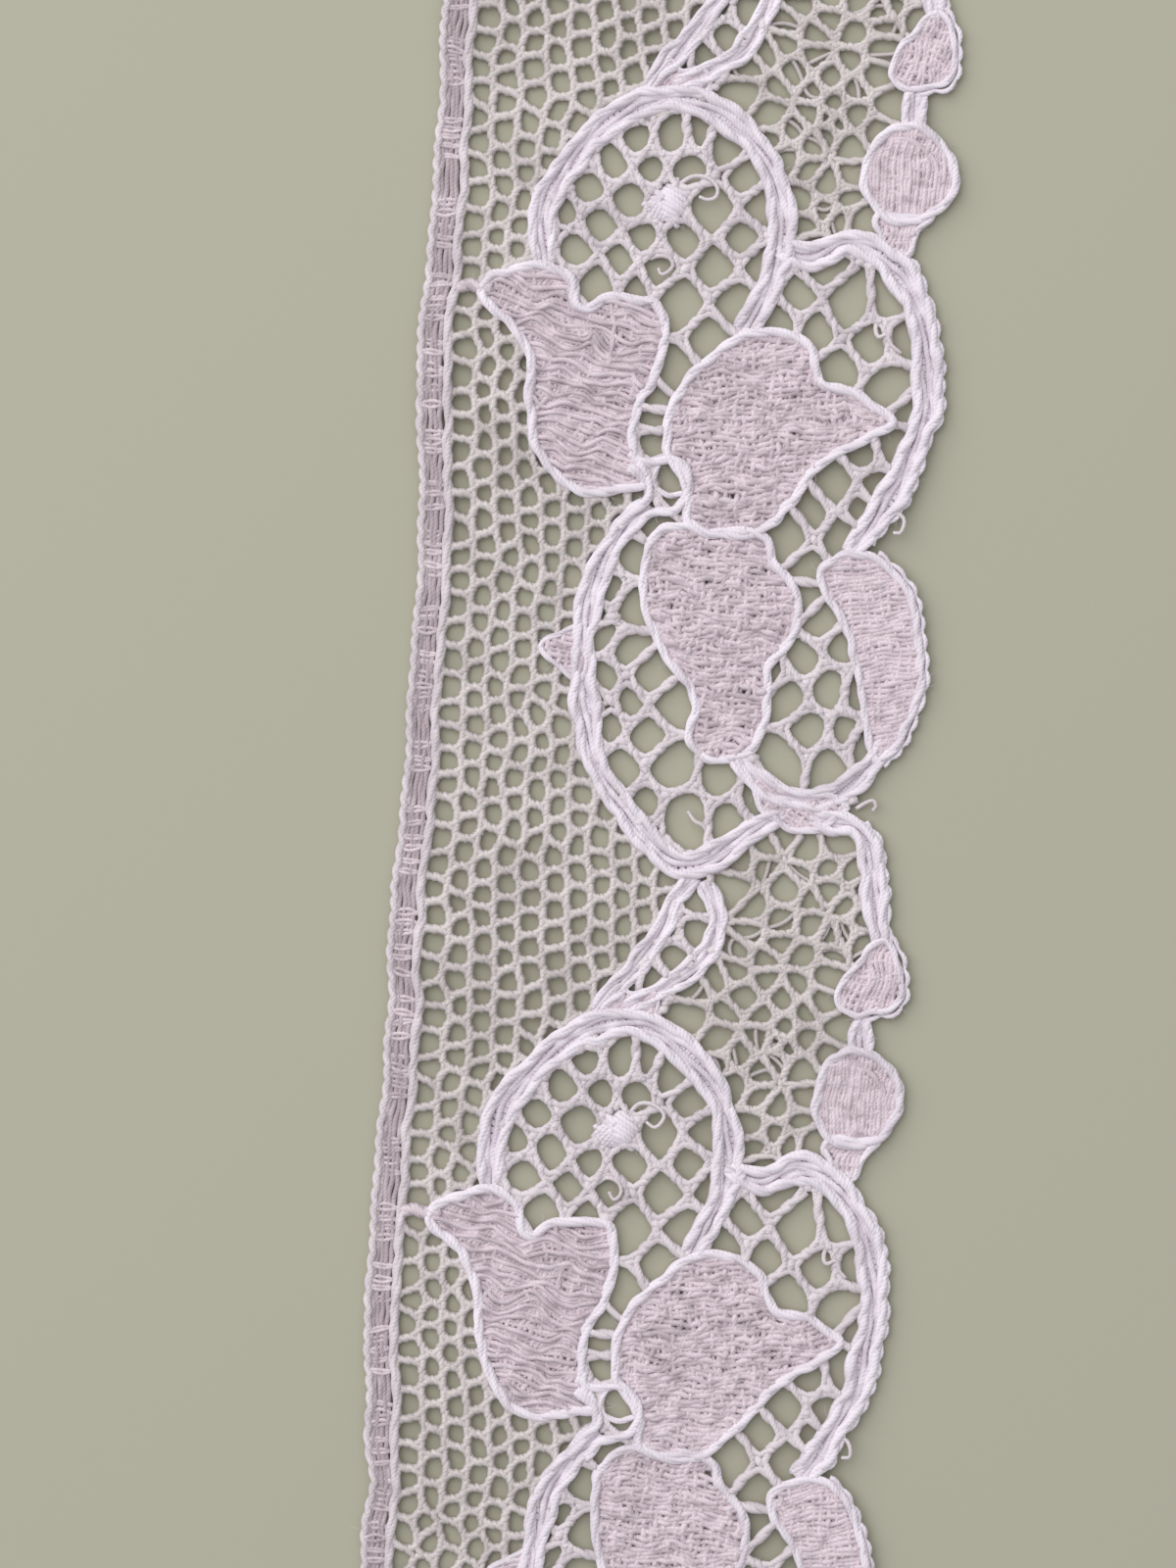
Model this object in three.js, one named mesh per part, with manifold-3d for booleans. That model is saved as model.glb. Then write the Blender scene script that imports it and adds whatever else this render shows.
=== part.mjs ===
// A cut length of narrow lace edging that lies flat: a straight woven footing on one side, a
// scalloped edge on the other, net between them, and a spray of leaves, rings and buds.
// Millimetres. "across" runs from the footing to the scallops and "along" runs up the length.
import * as THREE from 'three';
import { mergeVertices } from 'three/addons/utils/BufferGeometryUtils.js';
import Module from 'manifold-3d';

const wasm = await Module();
wasm.setup();

// Driving dimensions
const repeatLength = 56;
const repeatCount = 2;
const trimLength = repeatLength * repeatCount;
const footingWidth = 2.1;

const netThickness = 1.0;
const clothThickness = 1.25;
const cordTop = 1.5;

const bandHalfWidth = 0.62;
const outlineHalfWidth = 0.36;
const footingCordHalfWidth = 0.34;
const cordSides = 6;
const cordMiddle = 0.8;
const cordStep = 2.0;

// The net's gaps are cut at twice the pitch of the real meshes, and the fillings' at their own size
const meshRow = 1.556;
const meshColumn = 1.38;
const netRow = 2 * meshRow;
const netColumn = 2 * meshColumn;
const netBar = 0.8;
const fillingBar = 0.62;
const endBar = 0.7;
const shortestGapSide = 0.45;
const gapMargin = 0.12;
const smallestGap = 0.7;
const mostGaps = 300;

const footingStep = 8;
const leastRimLength = 15;

// How far the footing strays sideways in one repeat, fading out across the net
// along, sideways
const footingDrift = [
  [0, -0.1], [6, 0.3], [13, 0.2], [20, 0.5], [26, 0.0], [31.5, -0.4], [38, -0.15], [47, 0.05],
  [56, -0.1],
];
const driftFadesAt = 10;

// The sheet's scalloped side, a little inside the cords and buds that finish it
// along, across
const scallopedSide = [
  [0, 29.5], [4, 29.0], [6.3, 28.4], [9.4, 29.5], [14, 30.3], [19, 29.6], [22, 28.2], [24.5, 27.8],
  [27, 29.1], [32, 30.2], [36.5, 29.6], [40, 28.5], [44, 28.7], [49, 28.6], [52.5, 29.6],
  [56, 29.5],
];

// Cloth-stitch motifs of one repeat, each a smooth loop through a few points
// across, along
const clothOutlines = {
  leftLeaf: [
    [2.4, 36.8], [4.6, 37.9], [7.0, 38.3], [8.8, 37.2], [9.3, 35.8], [10.6, 36.4], [13.3, 36.5],
    [14.4, 34.4], [14.4, 31.6], [13.2, 29.2], [13.2, 26.6], [11.8, 25.0], [9.4, 24.8], [7.4, 26.6],
    [6.8, 29.8], [6.6, 32.6], [4.4, 35.3],
  ],
  rightLeaf: [
    [15.3, 27.0], [15.5, 29.8], [17.0, 32.4], [19.3, 34.6], [21.4, 35.1], [23.5, 34.2],
    [24.2, 32.3], [26.4, 31.4], [29.0, 29.8], [26.4, 28.4], [24.0, 26.4], [22.0, 23.9],
    [19.4, 22.9], [16.8, 23.4], [16.4, 25.2],
  ],
  lowerLeaf: [
    [14.9, 21.9], [18.0, 22.6], [21.5, 22.2], [23.2, 19.6], [23.4, 17.0], [22.0, 14.4],
    [21.8, 11.4], [20.8, 9.2], [18.8, 8.8], [17.3, 10.4], [17.6, 12.2], [15.6, 14.9], [14.4, 17.4],
    [14.2, 19.8],
  ],
  edgeBud: [
    [24.8, 20.5], [26.2, 21.9], [28.4, 21.7], [30.0, 19.6], [30.9, 16.8], [31.0, 13.4],
    [30.3, 10.4], [28.8, 9.2], [28.2, 11.6], [27.4, 14.8], [26.4, 17.7], [25.4, 18.7],
  ],
  smallBud: [
    [27.0, 51.1], [28.6, 50.2], [30.5, 50.7], [31.1, 52.3], [30.4, 54.4], [29.2, 54.6],
    [28.2, 53.0],
  ],
  thorn: [
    [10.6, 16.3], [8.1, 14.9], [10.4, 13.3],
  ],
};

// Round cloth-stitch spots of one repeat
const clothSpots = {
  edgeSpot: { across: 28.7, along: 44.9, radius: 2.8, sides: 10 },
  centreKnot: { across: 14.5, along: 42.3, radius: 1.05, sides: 6 },
};

// Paths of the paired cords that make the rings, the loops and the stem of one repeat
// across, along
const cordBands = {
  ring: [
    [7.0, 38.4], [6.7, 41.2], [7.7, 44.2], [10.1, 46.9], [13.4, 48.7], [16.6, 48.6], [19.2, 46.6],
    [20.7, 43.6], [20.9, 40.4], [20.1, 37.3], [19.2, 34.8],
  ],
  stemLeft: [
    [13.4, 48.9], [14.6, 51.8], [16.5, 54.2], [17.2, 56.2], [18.2, 57.7],
  ],
  stemRight: [
    [14.6, 49.4], [17.0, 51.4], [18.9, 53.4], [19.7, 55.3], [18.9, 57.5],
  ],
  lowerRing: [
    [16.0, 24.6], [13.8, 24.0], [12.0, 21.8], [10.9, 19.0], [10.5, 15.6], [10.7, 11.8], [11.7, 8.8],
    [13.4, 6.0], [15.4, 3.5], [18.2, 1.7], [20.3, 3.6], [22.4, 5.3], [25.4, 5.7], [28.4, 6.2],
  ],
  edgeLoop: [
    [20.9, 40.2], [23.2, 39.9], [25.2, 40.6], [27.2, 40.3], [28.9, 38.9], [30.0, 36.2],
    [30.5, 33.0], [30.4, 29.9], [29.5, 26.8], [28.0, 24.0], [26.4, 21.9],
  ],
  budTail: [
    [29.6, 10.0], [28.3, 7.9], [26.2, 6.9], [23.8, 7.1], [21.3, 9.2],
  ],
  edgeRun: [
    [28.4, 6.2], [29.3, 3.6], [29.7, 0.8], [30.0, -1.8],
  ],
  upperNeck: [
    [28.8, 50.4],
    [28.9, 47.6],
  ],
  lowerNeck: [
    [29.0, 42.4],
    [28.9, 38.9],
  ],
};

// Gap centres of the fillings, one row of the chart for each row of gaps
const fillingChart = [
  { along: 46.1, across: [12.2, 14.4, 17.3] },
  { along: 44.4, across: [10.9, 13.0, 15.4, 18.6] },
  { along: 42.3, across: [9.5, 11.8, 17.0, 19.7] },
  { along: 40.3, across: [8.3, 10.5, 12.9, 15.4, 18.8] },
  { along: 38.5, across: [8.8, 11.5, 14.0, 17.4, 20.2] },
  { along: 36.6, across: [10.1, 12.8, 15.4, 18.7, 22.6, 25.6, 28.0] },
  { along: 34.6, across: [17.2, 23.8, 26.6, 28.9] },
  { along: 32.3, across: [15.3, 25.3, 28.3] },
  { along: 27.8, across: [26.9, 28.7] },
  { along: 25.8, across: [25.5, 27.8] },
  { along: 23.8, across: [24.2] },
  { along: 22.4, across: [22.7, 25.6] },
  { along: 21.0, across: [13.3, 24.1] },
  { along: 18.4, across: [12.1, 13.6, 25.0] },
  { along: 15.8, across: [11.8, 13.3, 24.2, 26.1] },
  { along: 13.3, across: [12.3, 14.8, 23.2, 25.5, 27.3] },
  { along: 11.5, across: [13.6, 16.2, 24.6] },
  { along: 10.2, across: [12.4, 15.0, 26.7] },
  { along: 8.6, across: [13.6, 16.5, 19.4, 23.3, 25.8] },
  { along: 5.8, across: [15.0, 17.3, 20.2] },
  { along: 52.4, across: [17.0] },
  { along: 25.6, across: [15.2] },
];

// The lace as it lies: the pattern with the footing's drift added
function lie(across, along) {
  const phase = THREE.MathUtils.euclideanModulo(along, repeatLength);
  const fade = THREE.MathUtils.clamp(1 - across / driftFadesAt, 0, 1);
  return new THREE.Vector2(across + fade * valueAt(footingDrift, phase), along);
}

// The second column of a table at a place along its first, eased from row to row
function valueAt(table, place) {
  const next = table.findIndex(([start]) => start >= place);
  const [endPlace, endValue] = table[Math.max(next, 1)];
  const [startPlace, startValue] = table[Math.max(next, 1) - 1];
  const share = THREE.MathUtils.smoothstep(place, startPlace, endPlace);
  return THREE.MathUtils.lerp(startValue, endValue, share);
}

function pointsOf(table, shift) {
  return table.map(([across, along]) => {
    const { x, y } = lie(across, along + shift);
    return new THREE.Vector3(x, y, 0);
  });
}

// A motif's loop. Its steps run evenly from chart point to chart point, so every charted tip is kept
class MotifLoop extends THREE.CatmullRomCurve3 {
  constructor(table, shift) {
    super(pointsOf(table, shift), true, 'centripetal');
  }

  getUtoTmapping(share) {
    return share;
  }
}

function cordPath(table, shift) {
  return new THREE.CatmullRomCurve3(pointsOf(table, shift), false, 'centripetal');
}

function circleTable({ across, along, radius, sides }) {
  return Array.from({ length: sides }, (_, i) => {
    const turn = (2 * Math.PI * i) / sides;
    return [across + radius * Math.cos(turn), along + radius * Math.sin(turn)];
  });
}

// A closed three.js geometry as a solid that can be joined and cut
function solidOf(geometry) {
  const bare = new THREE.BufferGeometry();
  bare.setAttribute('position', geometry.getAttribute('position'));
  bare.setIndex(geometry.getIndex());
  const merged = mergeVertices(bare, 1e-4);
  return new wasm.Manifold(
    new wasm.Mesh({
      numProp: 3,
      vertProperties: merged.getAttribute('position').array,
      triVerts: new Uint32Array(merged.getIndex().array),
    }),
  );
}

function geometryOf(solid) {
  const { vertProperties, triVerts } = solid.getMesh();
  const geometry = new THREE.BufferGeometry();
  geometry.setAttribute('position', new THREE.BufferAttribute(vertProperties, 3));
  geometry.setIndex(new THREE.BufferAttribute(triVerts, 1));
  geometry.computeVertexNormals();
  return geometry;
}

function joined(solids) {
  return solids.reduce((whole, solid) => whole.add(solid));
}

// A flat plate of an outline, from one height to another
function plate(outline, low, high) {
  const geometry = new THREE.ExtrudeGeometry(new THREE.Shape(outline), {
    depth: high - low,
    bevelEnabled: false,
  });
  geometry.translate(0, 0, low);
  return solidOf(geometry);
}

// Cords are half sunk in the sheet, and all stand to the same height
function sunk(geometry, halfWidth) {
  geometry.scale(1, 1, (cordTop - cordMiddle) / halfWidth);
  geometry.translate(0, 0, cordMiddle);
  return solidOf(geometry);
}

function rimCord(loop, halfWidth) {
  return sunk(new THREE.TubeGeometry(loop, loop.points.length, halfWidth, cordSides, true), halfWidth);
}

function cord(path, halfWidth, stepLength) {
  const steps = Math.max(2, Math.round(path.getLength() / stepLength));
  const round = circleTable({ across: 0, along: 0, radius: halfWidth, sides: cordSides });
  const section = new THREE.Shape(round.map(([x, y]) => new THREE.Vector2(x, y)));
  return sunk(new THREE.ExtrudeGeometry(section, { steps, extrudePath: path }), halfWidth);
}

function sheetOutline() {
  const rowsPerRepeat = 14;
  const rows = repeatCount * rowsPerRepeat;
  const footingSide = [];
  for (let row = 0; row <= rows; row += 1) {
    footingSide.push(lie(0, (row * trimLength) / rows));
  }
  const scallops = [];
  for (let repeat = 0; repeat < repeatCount; repeat += 1) {
    const shift = repeat * repeatLength;
    const isLast = repeat === repeatCount - 1;
    const table = isLast ? scallopedSide : scallopedSide.slice(0, -1);
    table.forEach(([along, across]) => scallops.push(new THREE.Vector2(across, along + shift)));
  }
  return [...scallops, ...footingSide.reverse()];
}

function insideOutline(point, outline) {
  let inside = false;
  outline.forEach((a, i) => {
    const b = outline[(i + 1) % outline.length];
    const crosses = a.y > point.y !== b.y > point.y;
    if (crosses && point.x < a.x + ((point.y - a.y) * (b.x - a.x)) / (b.y - a.y)) {
      inside = !inside;
    }
  });
  return inside;
}

// Keeps the part of a convex outline on the near side of a line
function clipped(outline, linePoint, awayFrom) {
  const kept = [];
  outline.forEach((a, i) => {
    const b = outline[(i + 1) % outline.length];
    const depthA = a.clone().sub(linePoint).dot(awayFrom);
    const depthB = b.clone().sub(linePoint).dot(awayFrom);
    if (depthA <= 0) {
      kept.push(a);
    }
    if (depthA < 0 !== depthB < 0 && depthA !== depthB) {
      kept.push(a.clone().lerp(b, depthA / (depthA - depthB)));
    }
  });
  return kept;
}

// The gap round a centre: half way to each neighbour, less half a bar
function gapOutline(centre, centres, bar) {
  const reach = 2 * netRow;
  let outline = [
    [-1, -1], [1, -1], [1, 1], [-1, 1],
  ].map(([x, y]) => new THREE.Vector2(centre.x + x * netRow, centre.y + y * netRow));
  for (const other of centres) {
    const towards = other.clone().sub(centre);
    const distance = towards.length();
    if (distance > 0 && distance < reach) {
      towards.normalize();
      const side = centre.clone().addScaledVector(towards, (distance - bar) / 2);
      outline = clipped(outline, side, towards);
    }
  }
  const up = new THREE.Vector2(0, 1);
  outline = clipped(outline, new THREE.Vector2(0, trimLength - endBar), up);
  outline = clipped(outline, new THREE.Vector2(0, endBar), up.clone().negate());
  const footingInside = new THREE.Vector2(lie(0, centre.y).x + footingWidth, centre.y);
  outline = clipped(outline, footingInside, new THREE.Vector2(-1, 0));
  return outline;
}

function withoutShortSides(outline) {
  return outline.filter((point, i) => {
    const before = outline[(i + outline.length - 1) % outline.length];
    return point.distanceTo(before) > shortestGapSide;
  });
}

// Everything that covers the net, in each repeat and in one more past each end
const shifts = Array.from({ length: repeatCount + 2 }, (_, i) => (i - 1) * repeatLength);
const clothLoops = [];
const bandPaths = [];
for (const shift of shifts) {
  Object.values(clothOutlines).forEach((table) => clothLoops.push(new MotifLoop(table, shift)));
  Object.values(clothSpots).forEach((spot) => clothLoops.push(new MotifLoop(circleTable(spot), shift)));
  Object.values(cordBands).forEach((table) => bandPaths.push(cordPath(table, shift)));
}

const flat = ({ x, y }) => new THREE.Vector2(x, y);
const clothShapes = clothLoops.map((loop) => loop.getPoints(120).slice(0, -1).map(flat));
const bandRuns = bandPaths.map((path) => path.getSpacedPoints(120).map(flat));

// A covered place lies on cloth stitch, on its rim or under a band
function isCovered(point) {
  const rim = outlineHalfWidth + gapMargin;
  const reach = bandHalfWidth + gapMargin;
  return (
    clothShapes.some((shape) => insideOutline(point, shape) || isNear(shape, point, rim)) ||
    bandRuns.some((run) => isNear(run, point, reach))
  );
}

function isNear(places, point, reach) {
  return places.some((place) => place.distanceToSquared(point) < reach * reach);
}

// Draws each corner of a gap in towards its centre until it is clear of the cloth and the cords
function drawnIn(outline, centre) {
  return outline.map((corner) => {
    const place = corner.clone();
    for (let share = 1; share > 0.1 && isCovered(place); share -= 0.04) {
      place.lerpVectors(centre, corner, share);
    }
    return place;
  });
}

function areaOf(outline) {
  return Math.abs(THREE.ShapeUtils.area(outline));
}

// Centres of the gaps: the fillings by their chart, and a staggered net everywhere else
function gapCentres() {
  const filling = shifts.flatMap((shift) =>
    fillingChart.flatMap(({ along, across }) => across.map((x) => lie(x, along + shift))),
  );
  const net = [];
  const columns = Math.ceil((scallopedSide[0][1] + netColumn) / netColumn);
  const rows = Math.round((shifts.length * repeatLength) / netRow);
  for (let column = 0; column < columns; column += 1) {
    for (let row = 0; row < rows; row += 1) {
      const across = footingWidth + netColumn * (column + 0.42);
      const along = shifts[0] + netRow * (row + (column % 2) / 2);
      const centre = lie(across, along);
      const inRing = bandRuns.some((run) => insideOutline(centre, run));
      const nearFilling = filling.some((other) => other.distanceTo(centre) < 0.8 * netColumn);
      if (!inRing && !nearFilling) {
        net.push(centre);
      }
    }
  }
  return { filling, net };
}

function gapPrisms(sheet) {
  const { filling, net } = gapCentres();
  const centres = [...filling, ...net];
  const isInTrim = ({ x, y }) => y > 0 && y < trimLength && insideOutline(new THREE.Vector2(x, y), sheet);
  const outlines = centres
    .filter((centre) => isInTrim(centre) && !isCovered(centre))
    .map((centre) => {
      const bar = filling.includes(centre) ? fillingBar : netBar;
      return withoutShortSides(drawnIn(gapOutline(centre, centres, bar), centre));
    })
    .filter((outline) => outline.length > 2 && areaOf(outline) > smallestGap)
    .sort((a, b) => areaOf(b) - areaOf(a))
    .slice(0, mostGaps);
  return outlines.map((outline) => plate(outline, -1, netThickness + 1));
}

// The whole length as one solid
function laceSolid() {
  const sheet = sheetOutline();
  const openNet = gapPrisms(sheet).reduce((net, gap) => net.subtract(gap), plate(sheet, 0, netThickness));
  const clothSolids = clothLoops.flatMap((loop) => {
    const cloth = plate(loop.points.map(flat), 0, clothThickness);
    return loop.getLength() > leastRimLength ? [cloth, rimCord(loop, outlineHalfWidth)] : [cloth];
  });
  const bandSolids = bandPaths.map((path) => cord(path, bandHalfWidth, cordStep));
  const footingCords = [footingCordHalfWidth, footingWidth - footingCordHalfWidth].map((across) => {
    const count = Math.round((shifts.length * repeatLength) / footingStep);
    const rows = Array.from({ length: count + 1 }, (_, i) => [across, shifts[0] + i * footingStep]);
    return cord(cordPath(rows, 0), footingCordHalfWidth, footingStep);
  });
  const endTrim = plate(
    [
      [-5, 0],
      [40, 0],
      [40, trimLength],
      [-5, trimLength],
    ].map(([x, y]) => new THREE.Vector2(x, y)),
    0,
    cordTop + 1,
  );
  return joined([openNet, ...clothSolids, ...bandSolids, ...footingCords]).intersect(endTrim);
}

const laceGeometry = geometryOf(laceSolid());
laceGeometry.computeBoundingBox();
const middle = laceGeometry.boundingBox.getCenter(new THREE.Vector3());
laceGeometry.translate(-middle.x, -middle.y, 0);

const cottonThread = new THREE.MeshStandardMaterial({ color: 0xe6dce0, roughness: 0.9, metalness: 0 });
const laceTrim = new THREE.Mesh(laceGeometry, cottonThread);
laceTrim.name = 'lace_trim';

const trim = new THREE.Group();
trim.add(laceTrim);

export default trim;
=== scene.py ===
# A cut length of lace edging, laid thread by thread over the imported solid.
import math
import bpy
import numpy as np
from mathutils import Matrix


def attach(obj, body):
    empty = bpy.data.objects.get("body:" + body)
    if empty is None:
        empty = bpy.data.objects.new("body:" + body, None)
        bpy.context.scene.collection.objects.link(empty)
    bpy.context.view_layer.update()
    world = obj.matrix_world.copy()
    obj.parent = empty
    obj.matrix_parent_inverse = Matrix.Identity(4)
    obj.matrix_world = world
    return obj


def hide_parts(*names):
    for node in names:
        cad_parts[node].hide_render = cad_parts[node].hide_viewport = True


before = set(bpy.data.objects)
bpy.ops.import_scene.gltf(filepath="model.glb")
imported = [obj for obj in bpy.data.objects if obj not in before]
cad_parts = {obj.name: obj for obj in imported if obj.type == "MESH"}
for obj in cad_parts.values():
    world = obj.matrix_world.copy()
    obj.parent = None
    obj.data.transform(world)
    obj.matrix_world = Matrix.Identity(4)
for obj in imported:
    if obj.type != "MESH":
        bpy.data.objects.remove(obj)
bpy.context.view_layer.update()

# All charts are in millimetres: across from the footing's edge to the scallops, then along the length
trim = {
    "repeat": 56.0,
    "repeats": 2,
    "middleAcross": 15.708,    # the chart's place of the solid's middle
    "wander": 0.10,            # how far the threads stray from the chart
    "wanderWaves": (4, 14),    # over what lengths they do
    "lift": 0.22,              # how far the lace stands off the table in places
    "liftWaves": (14, 40),
    "liftSwing": 0.6,
    "liftMean": 0.25,
    "liftMost": 1.4,
    "clearance": 0.01,         # space under the lowest threads
    "ragged": 0.12,            # unevenness of the two cut ends
    "seed": 11,
}
footingDrift = {"along": [0, 6, 13, 20, 26, 31.5, 38, 47, 56],
                "sideways": [-0.1, 0.3, 0.2, 0.5, 0.0, -0.4, -0.15, 0.05, -0.1],
                "fadesAt": 10.0}
trimLength = trim["repeat"] * trim["repeats"]
shifts = [trim["repeat"] * (i - 1) for i in range(trim["repeats"] + 2)]
mm = 0.001
fullTurn = 2 * math.pi
anyTurn = (0, 6)    # radians, for a random start
dice = np.random.default_rng(trim["seed"])


# A smooth random field: a few plane waves of the given lengths
def waveField(shortest, longest, count=9):
    lengths = dice.uniform(shortest, longest, count)
    turns = dice.uniform(0, fullTurn, count)
    pushes = dice.uniform(0, fullTurn, count)
    rates = fullTurn / lengths[:, None] * np.stack([np.cos(turns), np.sin(turns)], 1)

    def value(points):
        return np.sin(points[:, :2] @ rates.T + pushes).sum(1) / math.sqrt(count)
    return value


strayAcross, strayAlong = waveField(*trim["wanderWaves"]), waveField(*trim["wanderWaves"])
liftField = waveField(*trim["liftWaves"])


# A value that is charted along one repeat
def byRepeat(chart, key, along):
    return np.interp(along % trim["repeat"], chart["along"], chart[key])


# From the chart to the table: drift of the footing, stray threads, soft lifts
def laid(points):
    drift = byRepeat(footingDrift, "sideways", points[:, 1])
    fade = np.clip(1 - points[:, 0] / footingDrift["fadesAt"], 0, 1)
    across = points[:, 0] + fade * drift + trim["wander"] * strayAcross(points)
    along = points[:, 1] + trim["wander"] * strayAlong(points)
    lift = np.clip(liftField(points) * trim["liftSwing"] + trim["liftMean"], 0, trim["liftMost"])
    height = points[:, 2] + trim["lift"] * lift
    return np.stack([across - trim["middleAcross"], along - trimLength / 2, height], 1) * mm


# A smooth line through the points of a chart
def smoothPath(table, closed=False, step=0.2, spanSteps=24):
    points = np.array(table, float)
    count = len(points)
    before = points[-1] if closed else 2 * points[0] - points[1]
    after = [points[0], points[1]] if closed else [2 * points[-1] - points[-2]]
    ring = np.vstack([before, points, *after])
    share = np.linspace(0, 1, spanSteps, endpoint=False)[:, None]
    dense = []
    for i in range(count if closed else count - 1):
        p0, p1, p2, p3 = ring[i:i + 4]
        gaps = (p1 - p0, p2 - p1, p3 - p2)
        k0, k1, k2 = (max(np.linalg.norm(gap), 1e-6) ** 0.5 for gap in gaps)
        m1 = k1 * ((p1 - p0) / k0 - (p2 - p0) / (k0 + k1) + (p2 - p1) / k1)
        m2 = k1 * ((p2 - p1) / k1 - (p3 - p1) / (k1 + k2) + (p3 - p2) / k2)
        dense.append((2 * share**3 - 3 * share**2 + 1) * p1 + (share**3 - 2 * share**2 + share) * m1
                     + (3 * share**2 - 2 * share**3) * p2 + (share**3 - share**2) * m2)
    dense = np.vstack([*dense, points[0] if closed else points[-1]])
    return evenly(dense, step, closed)


def evenly(points, step, closed=False):
    far = travelled(points)
    count = max(3, round(far[-1] / step))
    stops = np.linspace(0, far[-1], count + 1)
    spread = np.stack([np.interp(stops, far, points[:, k]) for k in range(points.shape[1])], 1)
    return spread[:-1] if closed else spread


def headings(path, closed=False):
    ahead = np.roll(path, -1, 0) - np.roll(path, 1, 0)
    if not closed:
        ahead[0], ahead[-1] = path[1] - path[0], path[-1] - path[-2]
    return ahead / np.maximum(np.linalg.norm(ahead, axis=1), 1e-9)[:, None]


def beside(path, distance, closed=False):
    heading = headings(path, closed)
    return path + np.stack([-heading[:, 1], heading[:, 0]], 1) * np.reshape(distance, (-1, 1))


def travelled(path):
    return np.concatenate([[0], np.cumsum(np.linalg.norm(np.diff(path, axis=0), axis=1))])


def raised(path, height):
    return np.column_stack([path, np.broadcast_to(height, len(path))])


def distanceTo(points, line):
    start, reach = line[:-1], np.diff(line, axis=0)
    away = points[:, None] - start
    share = np.clip((away * reach).sum(2) / np.maximum((reach**2).sum(1), 1e-12), 0, 1)
    return np.linalg.norm(away - share[..., None] * reach, axis=2).min(1)


def isInside(points, outline):
    a, b = outline, np.roll(outline, -1, 0)
    x, y = points[:, :1], points[:, 1:2]
    crosses = (a[:, 1] > y) != (b[:, 1] > y)
    rise = np.where(b[:, 1] == a[:, 1], 1e-12, b[:, 1] - a[:, 1])
    return (crosses & (x < a[:, 0] + (y - a[:, 1]) * (b[:, 0] - a[:, 0]) / rise)).sum(1) % 2 == 1


# A thread is a run of points, each with a half width and a tone; a run that leaves its place is split there
def thread(points, halfWidth, closed=False, tone=None):
    tone = dice.uniform() if tone is None else tone
    return {"points": points, "halfWidth": np.broadcast_to(halfWidth, len(points)).astype(float),
            "tone": np.broadcast_to(tone, len(points)).astype(float), "closed": closed}


def split(run, keep):
    keep = np.asarray(keep)
    if keep.all():
        return [run]
    order = np.arange(len(keep))
    if run["closed"] and keep.any():
        order = np.roll(order, -int(np.argmin(keep)))
    pieces, stretch = [], []
    for i in [*order, None]:
        if i is not None and keep[i]:
            stretch.append(i)
            continue
        if len(stretch) > 1:
            part = {key: run[key][stretch] for key in ("points", "halfWidth", "tone")}
            pieces.append({**part, "closed": False})
        stretch = []
    return pieces


def cutToLength(runs):
    kept = []
    for run in runs:
        along = run["points"][:, 1]
        short = trim["ragged"] * dice.uniform(-1, 0, 2)
        kept += split(run, (along > -short[0]) & (along < trimLength + short[1]))
    return kept


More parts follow.
